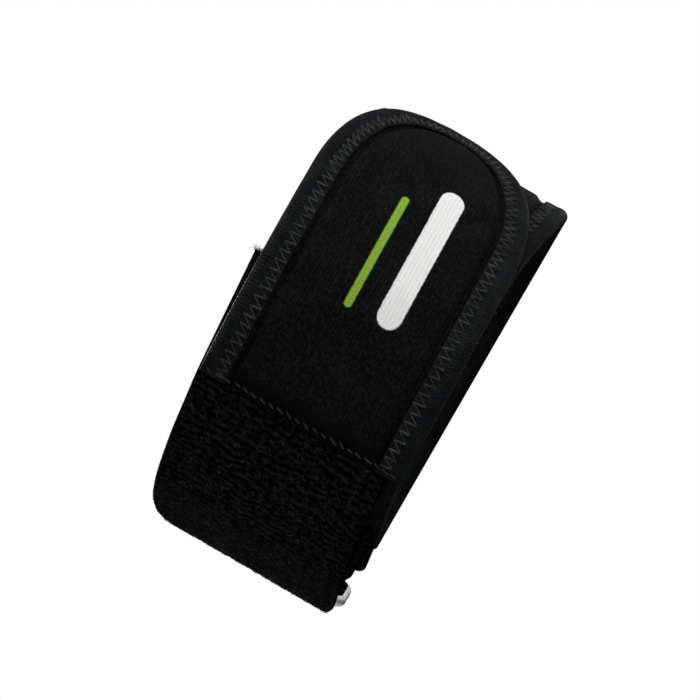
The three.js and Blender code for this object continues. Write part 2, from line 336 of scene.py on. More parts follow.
# The inside is creased across by the bend, and the outside is nearly smooth.
creases = np.where(
    side < 0,
    CREASE_INSIDE * ripple(x, CREASE_DRAWN_OUT * y, CREASE_INSIDE_SIZE, seed=3),
    CREASE_OUTSIDE * ripple(x, y, CREASE_OUTSIDE_SIZE, seed=4),
)
out = EDGE_HALF + side * (half - np.abs(creases) * smooth_rise(inset, FOAM_GROOVE, 2 * FOAM_FIELD))
move_points(bm, *on_band(x, out, y))
band = add_piece(bm, "band_neoprene", knit_black)
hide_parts("band_panel")

# The band's edge tapes
# Thin knitted tape, folded over each long edge of the neoprene and sewn through with a wide zigzag.
# The thread pulls the tape down, so the very edge stands up as a soft roll.
TAPE_THICK = 0.7 * MM
TAPE_COVER = 6.6 * MM
TAPE_FOLD = EDGE_HALF - TAPE_THICK / 2
TAPE_STEP = 0.5 * MM
TAPE_LIP = 0.36 * MM
TAPE_LIP_PLACES = (0, 0.22, 0.55, 1, 1.7)
TAPE_LIP_LEAST = 0.02
TAPE_PULLED = 0.22
TAPE_ROLL = 2.0 * MM
TAPE_PULLED_FROM = 4.2 * MM
TAPE_WOBBLE = 0.07 * MM
TAPE_WOBBLE_SIZE = 8 * MM
STITCH_INNER = 6.3 * MM
STITCH_OUTER = 3.3 * MM
NEEDLE_DENT = 0.05
NEEDLE_DENT_WIDTH = 0.9 * MM
TAPE_COLOUR = (0.0008, 0.0011, 0.0014, 1)
TAPE_RUBBED = (0.0066, 0.0083, 0.0095, 1)
TAPE_RUB_LIMITS = (0.40, 0.68)
TAPE_RELIEF = 0.22 * MM
# The tape's ribs, in millimetres of the flat cut.
TAPE_RIB_PITCH = 0.9
TAPE_RIB_SWAY = 0.12
TAPE_RIB_SWAY_PITCH = 1.3
TAPE_CORD_PITCH = 0.95
tape_half_cut = TAPE_COVER - TAPE_THICK / 2 - TAPE_FOLD + math.pi / 2 * TAPE_FOLD

tape_black, shader, tree = start_finish(
    "tape_black",
    {
        "Specular IOR Level": 0.05,
        "Sheen Weight": 0.008,
        "Sheen Roughness": 0.35,
        "Sheen Tint": (0.72, 0.85, 1.0, 1.0),
    },
)
along, across, flat = cloth_measures(tree)
swayed = along + wave(across, TAPE_RIB_SWAY_PITCH) * TAPE_RIB_SWAY
ribs = wave(swayed, TAPE_RIB_PITCH) * 0.6 + wave(across, TAPE_CORD_PITCH) * 0.4
fuzz = specks(tree, flat, 0.9, detail=4.0, roughness=0.75)
patches = specks(tree, flat, 0.22, detail=4.0)
rub = between(patches * 0.45 + fuzz * 0.55 + ribs * 0.03, *TAPE_RUB_LIMITS)
feed(
    shader,
    {
        "Base Color": rub.mix(TAPE_COLOUR, TAPE_RUBBED),
        "Roughness": fuzz * 0.3 + 0.5,
        "Normal": bump(ribs * 0.5 + fuzz * 0.9, 0.8, TAPE_RELIEF),
    },
)


def tape_press(inset, along):
    """The share of its thickness that a bound edge keeps: all at the roll, less where the thread pulls."""
    pull = smooth_rise(inset, TAPE_ROLL, TAPE_PULLED_FROM)
    rows = (STITCH_INNER, STITCH_OUTER)
    holes = sum(np.exp(-(((inset - row) / NEEDLE_DENT_WIDTH) ** 2)) for row in rows)
    return 1 - TAPE_PULLED * pull - NEEDLE_DENT * holes * np.cos(2 * np.pi * along / STITCH_PITCH)


def rounded(share, least):
    """The share of its thickness that a round edge has, from nearly none at its rim to all at share 1."""
    return np.sqrt(np.clip(1 - (1 - share) ** 2, least, 1))


def folded_tape(length):
    """A tape folded in a U: x along the edge, y in from the edge, z out from the middle of its thickness."""
    lip = TAPE_LIP * np.array(TAPE_LIP_PLACES)
    middle = even_places(-tape_half_cut + lip[-1], tape_half_cut - lip[-1], TAPE_STEP)[1:-1]
    places = np.concatenate((-tape_half_cut + lip, middle, tape_half_cut - lip[::-1]))
    bm = mark_cut(two_faces(flat_layer(even_places(0, length, STITCH_STEP), places)))
    x, cut, side = read_points(bm)
    to_lip = np.clip((tape_half_cut - np.abs(cut)) / TAPE_LIP, 0, 1)
    out = side * TAPE_THICK / 2 * rounded(to_lip, TAPE_LIP_LEAST)
    turn = np.clip(cut / TAPE_FOLD, -math.pi / 2, math.pi / 2)
    past = np.maximum(np.abs(cut) - math.pi / 2 * TAPE_FOLD, 0)
    inset = TAPE_THICK / 2 + TAPE_FOLD - (TAPE_FOLD + out) * np.cos(turn) + past
    rise = (TAPE_FOLD + out) * np.sin(turn)
    wobble = TAPE_WOBBLE * ripple(x, cut, TAPE_WOBBLE_SIZE, seed=11) * smooth_rise(inset, 0, TAPE_ROLL)
    move_points(bm, x, inset, rise * tape_press(inset, x) + np.sign(rise) * wobble)
    return bm


for name, turned in (("lower", False), ("upper", True)):
    bm = folded_tape(band_length)
    x, inset, rise = read_points(bm)
    z = BAND_WIDTH - inset if turned else inset
    move_points(bm, *on_band(BAND_FRONT_END + x, EDGE_HALF + rise, z))
    tape = add_piece(bm, f"band_edge_{name}", tape_black)
    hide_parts(f"band_tape_{name}")

# The band's stitches
# A wide zigzag of thick bonded thread through tape and neoprene, seen on the outside and on the inside.
# Every second stitch lies straight across the tape and stands proud, and the one that leads on is drawn in.
THREAD_PROUD = 0.32 * MM
THREAD_DRAWN = 0.22 * MM
THREAD_FLATNESS = 0.9
ZIGZAG_START = 0.3
STITCH_LEAN = 0.16
STITCH_SLIP = 0.06
THREAD_COLOUR = (0.005, 0.0055, 0.006, 1)
THREAD_WORN = (0.030, 0.032, 0.033, 1)
THREAD_WEAR_LIMITS = (0.35, 0.7)
THREAD_RELIEF = 0.1 * MM

thread_black, shader, tree = start_finish(
    "thread_black", {"Specular IOR Level": 0.12, "Sheen Weight": 0.01, "Sheen Roughness": 0.3}
)
place = tree.node("ShaderNodeTexCoord", out="Object")
twist = specks(tree, place, 2600)
wear = between(specks(tree, place, 420), *THREAD_WEAR_LIMITS)
feed(
    shader,
    {
        "Base Color": wear.mix(THREAD_COLOUR, THREAD_WORN),
        "Roughness": twist * 0.3 + 0.4,
        "Normal": bump(twist, 0.5, THREAD_RELIEF),
    },
)


def zigzag(length):
    """A zigzag along an edge, as its proud and its drawn stitches, each from its start to its end."""
    steps = (np.arange(int(length / STITCH_PITCH)) + ZIGZAG_START) * STITCH_PITCH
    slip = np.random.default_rng(13).normal(0, STITCH_SLIP * STITCH_PITCH, (4, len(steps)))
    feet = np.column_stack((steps + slip[0], STITCH_OUTER + slip[1]))
    tops = np.column_stack((steps + STITCH_LEAN * STITCH_PITCH + slip[2], STITCH_INNER + slip[3]))
    proud = np.stack((feet, tops), axis=1)
    drawn = np.stack((tops[:-1], feet[1:]), axis=1)
    return [(proud, THREAD_PROUD), (drawn, THREAD_DRAWN)]


def joined(name, points, faces, copies):
    """One mesh of many copies of a small shape, whose points follow each other."""
    count = len(points) // copies
    corners = [[count * copy + corner for corner in face] for copy in range(copies) for face in faces]
    mesh = bpy.data.meshes.new(name)
    mesh.from_pydata(points.tolist(), [], corners)
    bm = bmesh.new()
    bm.from_mesh(mesh)
    bpy.data.meshes.remove(mesh)
    return bm


def sew(name, rows, place):
    """Lays one short bulging stitch from each start to its end. A row gives its stitches and half its
    thread's thickness, and place() turns flat measures and a height over the cloth to a point."""
    bead = bmesh.new()
    bmesh.ops.create_uvsphere(bead, u_segments=6, v_segments=5, radius=1)
    bead.verts.index_update()
    aside, rise, onward = np.array([vert.co for vert in bead.verts]).T
    faces = [[vert.index for vert in face.verts] for face in bead.faces]
    bead.free()
    points = []
    for stitches, thread in rows:
        start, end = stitches[:, 0].T, stitches[:, 1].T
        way = end - start
        span = np.hypot(*way)
        x_on, y_on = way / span
        reach = np.outer(span / 2 + thread / 2, onward)
        offset = np.outer(np.full(len(span), thread), aside)
        x = (start[0] + end[0])[:, None] / 2 + reach * x_on[:, None] - offset * y_on[:, None]
        y = (start[1] + end[1])[:, None] / 2 + reach * y_on[:, None] + offset * x_on[:, None]
        height = np.tile(THREAD_FLATNESS * thread * rise, len(span))
        points.append(np.column_stack(place(x.ravel(), y.ravel(), height)))
    copies = sum(len(stitches) for stitches, thread in rows)
    bm = joined(name, np.concatenate(points), faces, copies)
    return add_piece(bm, name, thread_black)


def on_band_edge(turned, face):
    """Places stitches on the band's lower edge, or its upper one if turned, outside (1) or inside (-1)."""

    def place(x, inset, rise):
        out = EDGE_HALF * tape_press(inset, x) + rise
        z = BAND_WIDTH - inset if turned else inset
        return on_band(BAND_FRONT_END + x, EDGE_HALF + face * out, z)

    return place


edge_zigzag = zigzag(band_length)
band_stitches = [
    sew(f"band_stitches_{name}", edge_zigzag, on_band_edge(turned, face))
    for name, turned, face in (
        ("lower_outside", False, 1),
        ("lower_inside", False, -1),
        ("upper_outside", True, 1),
        ("upper_inside", True, -1),
    )
]

# The tab
# A tongue of the same neoprene with a long round tip. Its lower end is sewn flat on the pull strap, and from
# there it lies over the strap's end and down on the band, where it sticks. It leans a little upwards.
TAB_LENGTH = 97 * MM
TAB_WIDTH = 53 * MM
TAB_TIP = 40 * MM
TAB_LIFT = 2.7 * MM
TAB_LEAN = 0.028
TAB_LOWER_END = -19.5 * MM
TAB_ON_STRAP = 6.0 * MM
TAB_ON_BAND = 4.1 * MM
TAB_STEP_START = 9 * MM
TAB_STEP_END = 34 * MM
TAB_GROOVE = 0.45 * MM
TAB_FIELD_STEP = 1.7 * MM
TAB_SWAY = 0.14 * MM
TAB_SWAY_SIZE = 22 * MM
SEAM_PITCH = 2.3 * MM
SEAM_SINK = 1.2 * MM
SEAM_DIMPLE = 0.12
SEAM_STEP = 0.3 * MM
SEAM_HALF_PRESSED = 0.45 * MM
SEAM_SLOPE_START = 1.6 * MM
SEAM_SLOPE_END = 6.6 * MM
MERGE = 0.01 * MM
# The colour of the painted shade by the seam.
SEAM_PAINTED_SHADE = (0.0004, 0.0004, 0.0005, 1)
PRINT_WHITE = (0.60, 0.60, 0.58, 1)
PRINT_GREEN = (0.16, 0.28, 0.03, 1)
# The painted shade by the seam, up from the tab's lower end, and the soft rim of the ink, in millimetres of
# the flat tab.
SEAM_PAINTED_SHADE_LIMITS = (1.8, 7.0)
INK_WEAR = 0.5
INK_WITHIN = 0.05
INK_BEYOND = 0.25
# Each printed bar, in the same measure: its middle up and across, half its length and half its width.
WHITE_BAR = (48.5, -6.2, 19.5, 3.1)
GREEN_BAR = (44.5, 3.6, 15.5, 1.1)
tab_radius = TAB_WIDTH / 2
tab_tip_start = TAB_LENGTH - TAB_TIP
tip_turns = np.linspace(0, math.pi, 181)
tip_outline = np.column_stack((tab_radius * np.cos(tip_turns), TAB_TIP * np.sin(tip_turns)))
tip_lengths = PlanLine(tip_outline).lengths
tab_stretch = 1 + (TAB_ON_BAND + EDGE_HALF) / (oval_girth / (2 * math.pi))


def drawn_out(up, across):
    """Draws a half-round tip out to the tab's long one, with the same width of edge all round it."""
    past = np.maximum(up - tab_tip_start, 0)
    reach = np.maximum(np.hypot(past, across), MERGE)
    return up + (TAB_TIP - tab_radius) * smooth_rise(reach, 0, tab_radius / 2) * past / reach


def on_tab(up, across, rise):
    """Lays a point of the flat tab in its place: up from its seam, across from its middle line, and out."""
    up = drawn_out(up, across)
    along = TAB_LOWER_END + up / tab_stretch
    step = smooth_rise(along, TAB_STEP_START, TAB_STEP_END)
    under = TAB_ON_STRAP + (TAB_ON_BAND - TAB_ON_STRAP) * step
    middle = under + EDGE_HALF - SEAM_SINK * (1 - smooth_rise(up, 0, SEAM_SLOPE_END))
    return *oval.at(along, middle + rise), TAB_LIFT + tab_radius + TAB_LEAN * up + across


def tab_half(up, across):
    """Half the tab's thickness: squeezed thin under the tape and at the seam, swollen between."""
    past = np.maximum(up - tab_tip_start, 0)
    inset = tab_radius - np.hypot(past, across)
    round_the_tip = np.interp(np.arctan2(past, np.abs(across)), tip_turns, tip_lengths)
    by_edge = foam_half(inset, np.minimum(up, tab_tip_start) + round_the_tip, TAB_GROOVE)
    open_half = FOAM_HALF_OPEN + FOAM_CROWN
    slope = smooth_rise(up, SEAM_SLOPE_START, SEAM_SLOPE_END)
    pulled = 1 + SEAM_DIMPLE * np.cos(2 * np.pi * across / SEAM_PITCH)
    by_seam = SEAM_HALF_PRESSED * pulled + (open_half - SEAM_HALF_PRESSED * pulled) * slope
    return np.minimum(by_edge, by_seam)


knit_printed, shader, sources = knit_finish("knit_printed")
tree = Shade(knit_printed.node_tree)
along, across, flat = cloth_measures(tree)
ink_wear = specks(tree, flat, 1.1, detail=4.0, roughness=0.7) * INK_WEAR
# Painted shade: the tab's colour is darkened towards the seam at its lower end.
seam_painted_shade = 1 - between(along, *SEAM_PAINTED_SHADE_LIMITS)
sources["Base Color"] = seam_painted_shade.mix(sources["Base Color"], SEAM_PAINTED_SHADE)
for (mid_up, mid_across, half_long, half_wide), ink in ((WHITE_BAR, PRINT_WHITE), (GREEN_BAR, PRINT_GREEN)):
    beyond = abs(along - mid_up) - (half_long - half_wide)
    beyond = beyond.math("MAXIMUM", beyond, 0.0)
    away = across - mid_across
    reach = beyond.math("SQRT", beyond * beyond + away * away)
    inked = 1 - between(reach + ink_wear, half_wide - INK_WITHIN, half_wide + INK_BEYOND)
    sources["Base Color"] = inked.mix(sources["Base Color"], ink)
feed(shader, sources)

half_middle = even_places(FOAM_FIELD, tab_radius, TAB_FIELD_STEP)[1:]
half_across = tab_radius - np.concatenate((edge_places, half_middle))
seam_ups = even_places(0, FOAM_FIELD, SEAM_STEP)
tab_ups = np.concatenate((seam_ups, even_places(FOAM_FIELD, tab_tip_start, STITCH_STEP)[1:]))
bm = flat_layer(tab_ups, np.concatenate((-half_across, half_across[-2::-1])))
top_row = [
    edge
    for edge in bm.edges
    if all(vert.co.x > tab_tip_start - MERGE and vert.co.y > -MERGE for vert in edge.verts)
]
bmesh.ops.spin(
    bm,
    geom=top_row,
    cent=(tab_tip_start, 0, 0),
    axis=(0, 0, 1),
    angle=-math.pi,
    steps=int(tip_lengths[-1] / STITCH_STEP),
)
bmesh.ops.remove_doubles(bm, verts=bm.verts[:], dist=MERGE)
two_faces(bm)
up, across, side = read_points(bm)
move_points(bm, drawn_out(up, across), across, side)
mark_cut(bm)
field = smooth_rise(np.minimum(tab_radius - np.abs(across), up), FOAM_FIELD, 2 * FOAM_FIELD)
sway = TAB_SWAY * ripple(up, across, TAB_SWAY_SIZE, seed=21) * field
move_points(bm, *on_tab(up, across, side * tab_half(up, across) + sway))
tab = add_piece(bm, "tab_neoprene", knit_printed)
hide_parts("tab_panel")

# The tab's edge tape and stitches
# One length of the same tape runs up one side, round the tip and down the other, sewn with the same zigzag.
# A row of short stitches holds the tab's lower end and the tape's two ends down on the strap.
SEAM_LOW = 0.9 * MM
SEAM_HIGH = 1.5 * MM
SEAM_DASH = 1.65 * MM
SEAM_FIRST_IN = 1.6 * MM
SEAM_LAST_IN = 2.6 * MM
TAPE_END_FLAT = 0.55
tab_edge_length = 2 * tab_tip_start + tip_lengths[-1]


def round_tab(x, inset):
    """Turns a place along the tab's outline, and in from it, to a place on the flat tab."""
    turn = np.interp(x - tab_tip_start, tip_lengths, tip_turns)
    radius = tab_radius - inset
    before = np.minimum(x, tab_tip_start)
    after = np.maximum(x - tab_tip_start - tip_lengths[-1], 0)
    return before - after + radius * np.sin(turn), radius * np.cos(turn)


def tape_end_press(up):
    """How much of its thickness the bound edge keeps near the tab's sewn end."""
    return 1 - TAPE_END_FLAT * (1 - smooth_rise(up, SEAM_SLOPE_START, SEAM_SLOPE_END))


bm = folded_tape(tab_edge_length)
x, inset, rise = read_points(bm)
up, across = round_tab(x, inset)
move_points(bm, *on_tab(up, across, rise * tape_end_press(up)))
tab_edge = add_piece(bm, "tab_edge", tape_black)
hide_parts("tab_tape")


def on_tab_edge(x, inset, rise):
    up, across = round_tab(x, inset)
    return on_tab(up, across, EDGE_HALF * tape_press(inset, x) * tape_end_press(up) + rise)


def on_tab_seam(across, up, rise):
    inset = tab_radius - np.abs(across)
    tape = EDGE_HALF * tape_press(inset, up) * tape_end_press(up)
    return on_tab(up, across, np.where(inset < TAPE_COVER, tape, tab_half(up, across)) + rise)


tab_stitches = sew("tab_stitches", zigzag(tab_edge_length), on_tab_edge)
seam_starts = np.arange(-tab_radius + SEAM_FIRST_IN, tab_radius - SEAM_LAST_IN, SEAM_PITCH)
seam_slip = np.random.default_rng(17).normal(0, STITCH_SLIP * SEAM_PITCH, (len(seam_starts), 2, 2))
seam_dashes = np.array([((at, SEAM_LOW), (at + SEAM_DASH, SEAM_HIGH)) for at in seam_starts]) + seam_slip
tab_seam = sew("tab_seam", [(seam_dashes, THREAD_PROUD)], on_tab_seam)

# The pull strap
# Coarse woven webbing, sewn to the band's front end. It runs under the ring's front bar, folds round it and
# comes back outside, pinched to the ring's opening, and its cut end lies askew under the tab.
WEBBING_WIDTH = 50 * MM
WEBBING_HALF = 0.58 * MM
WEBBING_RELIEF = 0.34 * MM
RELIEF_MIDDLE = 0.4
WEBBING_EDGE = 0.6 * MM
WEBBING_EDGE_PLACES = (0, 0.1, 0.27, 0.57, 1)
WEBBING_EDGE_LEAST = 0.03
RIB_PITCH = 1.9 * MM
RIB_HEIGHT = 0.22
RIB_STRAY = 0.28
RIB_STRAY_SIZE = 9 * MM
LOOP_SIZE = 1.45 * MM
LOOP_DRAWN_OUT = 0.75
LOOP_HEIGHT = 0.27
TUFT_SIZE = 2.5 * LOOP_SIZE
TUFT_HEIGHT = 0.12
GATHER_PITCH = 8.5 * MM
GATHER_HEIGHT = 0.30 * MM
GATHER_DRAWN_OUT = 0.15
GATHER_RISE = (6 * MM, 15 * MM)
GATHER_FALL = (10 * MM, 34 * MM)
RING_WIRE = 3 * MM
RING_LENGTH = 49.5 * MM
RING_WIDTH = 15 * MM
RING_CORNER = 2.5 * MM
RING_FOOT = 0.1 * MM
RING_ALONG = -85.5 * MM
RING_HEIGHT = 4.8 * MM
FOLD_RADIUS = 2.6 * MM
FOLD_STEPS = 25
FOLD_LEAD = 2 * MM
FOLD_CALM = 0.35
FOLD_CALM_LIMITS = (1.5 * MM, 6 * MM)
# How much darker the weave's colour is painted near the fold, as painted shade, and where that fades out.
FOLD_PAINTED_SHADE = 0.4
FOLD_PAINTED_SHADE_LIMITS = (7 * MM, 17 * MM)
RUN_STEPS = 12
STRAP_UNDER_TAB = 27 * MM
# The weave's pits are painted dark as shade and its floats light as lit tops, by the relief, with random tone
# between.
WEBBING_PIT = (0.0002, 0.0002, 0.0002, 1)
WEBBING_FLOAT = (0.0088, 0.0090, 0.0075, 1)
WEBBING_LINT = (0.030, 0.030, 0.027, 1)
WEBBING_LIT_LIMITS = (0.58, 1.12)
LINT_LIMITS = (0.66, 0.76)
LINT_RELIEF_LIMITS = (0.3, 0.7)
STRAND_RELIEF = 0.2 * MM
# The strands along and across, in millimetres of the flat cut.
STRAND_PITCHES = (0.42, 0.40)
STRAND_STRAY = 0.6
# Heights out from the oval, and the webbing's two edges at the ring, in millimetres.
ON_OVAL = 1.1
ON_BAND = 4.9
ON_LAP = 6.8
AT_RING = (3.6, 46.1)

# Each row, in millimetres: the way round the oval, the webbing's middle out from it, its two edges.
STRAP_UNDER_RUN = [
    (-34, ON_BAND, 2, 52),
    (-41, ON_BAND, 2, 52),
    (-48, ON_BAND, 2, 52),
    (-56, 1.6, 2.6, 52),
    (-64, ON_OVAL, 3.2, 51.4),
    (-72, ON_OVAL, 3.8, 48.5),
]
STRAP_OUTER_RUN = [
    (-74, 7, 2.6, 47.2),
    (-68, 6, 2, 50.4),
    (-62, 5.3, 2.2, 52.2),
    (-55, 5.9, 2.8, 52.8),
    (-48, ON_LAP, 3.4, 53.4),
    (-41, ON_LAP, 4.1, 54.1),
    (-34, ON_LAP, 4.8, 54.8),
    (-27, 5.6, 5.5, 55.5),
    (-20, ON_BAND, 6.2, 56.2),
    (-6, ON_BAND, 7.1, 57.1),
    (8, ON_BAND, 8.2, 58.2),
]

ring_centre = np.array(oval.at(RING_ALONG, RING_HEIGHT))
ring_outward = np.array(oval.at(RING_ALONG, RING_HEIGHT + 1)) - ring_centre
ring_onward = np.array((-ring_outward[1], ring_outward[0]))
ring_bar = (RING_WIDTH - RING_WIRE) / 2


def planned(rows):
    along, height, lower, upper = np.array(rows).T * MM
    return np.column_stack((*oval.at(along, height), lower, upper))


def fold_rows(side):
    """Half round the ring's front bar (side 1) or rear bar (side -1), from the inside to the outside."""
    turn = np.linspace(0, math.pi, FOLD_STEPS)[:, None]
    bar = ring_centre + side * ring_bar * ring_onward
    plan = bar - side * FOLD_RADIUS * np.sin(turn) * ring_onward - FOLD_RADIUS * np.cos(turn) * ring_outward
    return np.column_stack((plan, np.tile(np.array(AT_RING) * MM, (FOLD_STEPS, 1))))


def smooth_run(rows):
    """A smooth curve through the rows."""
    ends = np.vstack((2 * rows[0] - rows[1], rows, 2 * rows[-1] - rows[-2]))
    share = np.linspace(0, 1, RUN_STEPS, endpoint=False)[:, None]
    stretches = []
    for before, start, end, after in zip(ends, ends[1:], ends[2:], ends[3:]):
        leave = (end - before) / 2
        arrive = (after - start) / 2
        bend = 2 * (start - end) + leave + arrive
        lean = 3 * (end - start) - 2 * leave - arrive
        stretches.append(start + share * (leave + share * (lean + share * bend)))
    return np.vstack((*stretches, rows[-1]))


class Webbing:
    """The way of a folded webbing: in along the oval, round a bar of the ring, and out again. hand is -1
    where the way runs against the oval's, because its outside is then on the other hand."""

    def __init__(self, run_in, side, run_out, hand):
        fold = fold_rows(side)
        run_in = smooth_run(np.vstack((planned(run_in), fold[0])))
        run_out = smooth_run(np.vstack((fold[-1], planned(run_out))))
        way = np.vstack((run_in[:-1], fold, run_out[1:]))
        self.line = PlanLine(way[:, :2])
        self.edges = way[:, 2:].T
        self.hand = hand
        self.length = self.line.lengths[-1]
        self.fold_start = self.line.lengths[len(run_in) - 1]
        self.fold_end = self.line.lengths[len(run_in) + len(fold) - 2]

    def lay(self, along, share, out):
        lower, upper = (np.interp(along, self.line.lengths, edge) for edge in self.edges)
        return *self.line.at(along, self.hand * out), lower + share * (upper - lower)


def woven(along, across):
    """The weave's relief from 0 to 1: uneven ribs across the webbing, broken up by loops of a rough pile."""
    strayed = along / RIB_PITCH + RIB_STRAY * ripple(along, across, RIB_STRAY_SIZE, seed=31)
    ribs = np.sin(2 * np.pi * strayed)
    loops = ripple(along, LOOP_DRAWN_OUT * across, LOOP_SIZE, seed=32)
    tufts = ripple(along, across, TUFT_SIZE, seed=33)
    return np.clip(0.5 + RIB_HEIGHT * ribs + LOOP_HEIGHT * loops + TUFT_HEIGHT * tufts, 0, 1)


webbing_black, shader, tree = start_finish("webbing_black", {"Specular IOR Level": 0.01})
along, across, flat = cloth_measures(tree)
relief = tree.node("ShaderNodeAttribute", {"attribute_name": "relief"}, out=2)
rough = specks(tree, flat, 0.9, detail=4.0, roughness=0.75)
strayed = rough * STRAND_STRAY
strands = wave(along + strayed, STRAND_PITCHES[0]) * 0.5 + wave(across + strayed, STRAND_PITCHES[1]) * 0.5
lint = between(specks(tree, flat, 0.95, detail=1.0), *LINT_LIMITS) * between(relief, *LINT_RELIEF_LIMITS)
# Painted shade in the weave's pits and painted light on its floats, by the relief, mixed with random tone.
painted_light_and_tone = between(relief * 0.80 + rough * 0.60 + strands * 0.06, *WEBBING_LIT_LIMITS)
feed(
    shader,
    {
        "Base Color": lint.mix(painted_light_and_tone.mix(WEBBING_PIT, WEBBING_FLOAT), WEBBING_LINT),
        "Roughness": rough * 0.2 + 0.7,
        "Normal": bump(strands * 0.3 + rough, 0.7, STRAND_RELIEF),
    },
)


def lay_webbing(name, way, width, places_along, gathers):
    """Cuts a length of webbing, weaves it and lays it along its way. gathers() lifts it where pinched."""
    lip = WEBBING_EDGE * np.array(WEBBING_EDGE_PLACES)
    middle = even_places(lip[-1], width - lip[-1], LOOP_SIZE / 4)[1:-1]
    places_across = np.concatenate((lip, middle, width - lip[::-1]))
    bm = mark_cut(two_faces(flat_layer(places_along, places_across)))
    x, y, side = read_points(bm)
    to_edge = np.clip(np.minimum(y, width - y) / WEBBING_EDGE, 0, 1)
    to_fold = np.abs(x - (way.fold_start + way.fold_end) / 2)
    calm = 1 - FOLD_CALM * (1 - smooth_rise(to_fold, *FOLD_CALM_LIMITS))
    # Painted shade: the weave's colour is darkened towards the fold, through the relief that the colour
    # reads.
    fold_painted_shade = 1 - FOLD_PAINTED_SHADE * (1 - smooth_rise(to_fold, *FOLD_PAINTED_SHADE_LIMITS))
    weave = woven(x, y) * smooth_rise(to_edge, 0, 1)
    layer = bm.verts.layers.float.new("relief")
    for vert, height in zip(bm.verts, weave * fold_painted_shade):
        vert[layer] = height
    half = WEBBING_HALF * rounded(to_edge, WEBBING_EDGE_LEAST)
    out = side * (half + WEBBING_RELIEF * calm * (weave - RELIEF_MIDDLE)) + gathers(x, y)
    move_points(bm, *way.lay(x, y / width, out))
    return add_piece(bm, name, webbing_black)


strap_way = Webbing(STRAP_UNDER_RUN, 1, STRAP_OUTER_RUN, 1)


def strap_gathers(x, y):
    """Soft pleats along the strap beside the ring, where it is drawn narrower than it is."""
    past_fold = x - strap_way.fold_end
    near = smooth_rise(past_fold, *GATHER_RISE)
    far = 1 - smooth_rise(past_fold, *GATHER_FALL)
    return GATHER_HEIGHT * near * far * ripple(GATHER_DRAWN_OUT * x, y, GATHER_PITCH, seed=41)


# Fewer rows lie under the tab and on the inner run, where the weave hardly shows.
strap_fold_start = strap_way.fold_start - FOLD_LEAD
strap_tab_start = strap_way.length - STRAP_UNDER_TAB
strap_places = np.concatenate(
    (
        even_places(0, strap_fold_start, RIB_PITCH / 3)[:-1],
        even_places(strap_fold_start, strap_tab_start, RIB_PITCH / 5)[:-1],
        even_places(strap_tab_start, strap_way.length, RIB_PITCH / 2),
    )
)
strap = lay_webbing("pull_strap_webbing", strap_way, WEBBING_WIDTH, strap_places, strap_gathers)
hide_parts("pull_strap")

# The strap's loose fibres
# Short loops of yarn that stand from the webbing's rough face in all directions, and the frayed ends at its
# cut end beside the tab.
PILE_HALF = 0.075 * MM
PILE_LOOPS = 4300
PILE_CROWDING = 1.5
PILE_MARGIN = 1 * MM
PILE_BEFORE_FOLD_END = 5 * MM
FRAY_HALF = 0.05 * MM
FRAYED_FIBRES = 320
FRAY_CROWDING = 0.12
FRAY_ROOT_IN = 0.4 * MM
FIBRE_STEPS = 5
FIBRE_BEND = 1.6
FIBRE_ARCH = 0.85
FIBRE_TAPER = 0.5
# Least and greatest lengths and lifts, in millimetres, and a frayed end's middle turn and spread, in radians.
PILE_LONG = (0.8, 2.0)
PILE_LIFT = (0.1, 0.4)
FRAY_LONG = (0.6, 1.9)
FRAY_LIFT = (-0.6, 0.6)
FRAY_TURN = (0.2, 0.7)
PILE_COLOUR = (0.0012, 0.0012, 0.0011, 1)
PILE_RUBBED = (0.033, 0.0335, 0.028, 1)
PILE_RUB_LIMITS = (0.40, 0.72)

pile_black, shader, tree = start_finish("pile_black", {"Specular IOR Level": 0.04, "Roughness": 0.8})
place = tree.node("ShaderNodeTexCoord", out="Object")
rub = between(specks(tree, place, 700), *PILE_RUB_LIMITS)
feed(shader, {"Base Color": rub.mix(PILE_COLOUR, PILE_RUBBED)})


def add_fibres(name, roots, turns, lengths, lifts, half, place, seed):
    """Fine three-sided strands, each bent from its root. place() turns measures and a height to a point."""
    draw = np.random.default_rng(seed)
    share = np.linspace(0, 1, FIBRE_STEPS)
    bend = draw.uniform(-FIBRE_BEND, FIBRE_BEND, len(roots))[:, None] * share
    heading = turns[:, None] + bend
    x = roots[:, :1] + lengths[:, None] * share * np.cos(heading)
    y = roots[:, 1:] + lengths[:, None] * share * np.sin(heading)
    rise = lifts[:, None] * np.sin(math.pi * share * FIBRE_ARCH)
    corner = np.arange(3) * 2 * math.pi / 3
    thick = half * (1 - FIBRE_TAPER * share)[:, None]
    x = x[..., None] - thick * np.cos(corner) * np.sin(heading)[..., None]
    y = y[..., None] + thick * np.cos(corner) * np.cos(heading)[..., None]
    rise = rise[..., None] + thick * np.sin(corner)
    points = np.column_stack(place(x.ravel(), y.ravel(), rise.ravel()))
    sides = [
        [3 * step + a, 3 * step + b, 3 * step + 3 + b, 3 * step + 3 + a]
        for step in range(FIBRE_STEPS - 1)
        for a, b in ((0, 1), (1, 2), (2, 0))
    ]
    last = 3 * (FIBRE_STEPS - 1)
    bm = joined(name, points, [[2, 1, 0], *sides, [last, last + 1, last + 2]], len(roots))
    return add_piece(bm, name, pile_black)


def on_strap(x, y, rise):
    gathered = strap_gathers(x, y)
    return strap_way.lay(x, y / WEBBING_WIDTH, WEBBING_HALF + gathered + rise)


def on_strap_end(x, y, rise):
    """A place on the strap's middle layer, or straight on past its cut end."""
    past = np.maximum(x - strap_way.length, 0)
    out_x, out_y = strap_way.line.columns[2:, -1]
    end_x, end_y, z = strap_way.lay(x, y / WEBBING_WIDTH, rise)
    return end_x - past * out_y, end_y + past * out_x, z


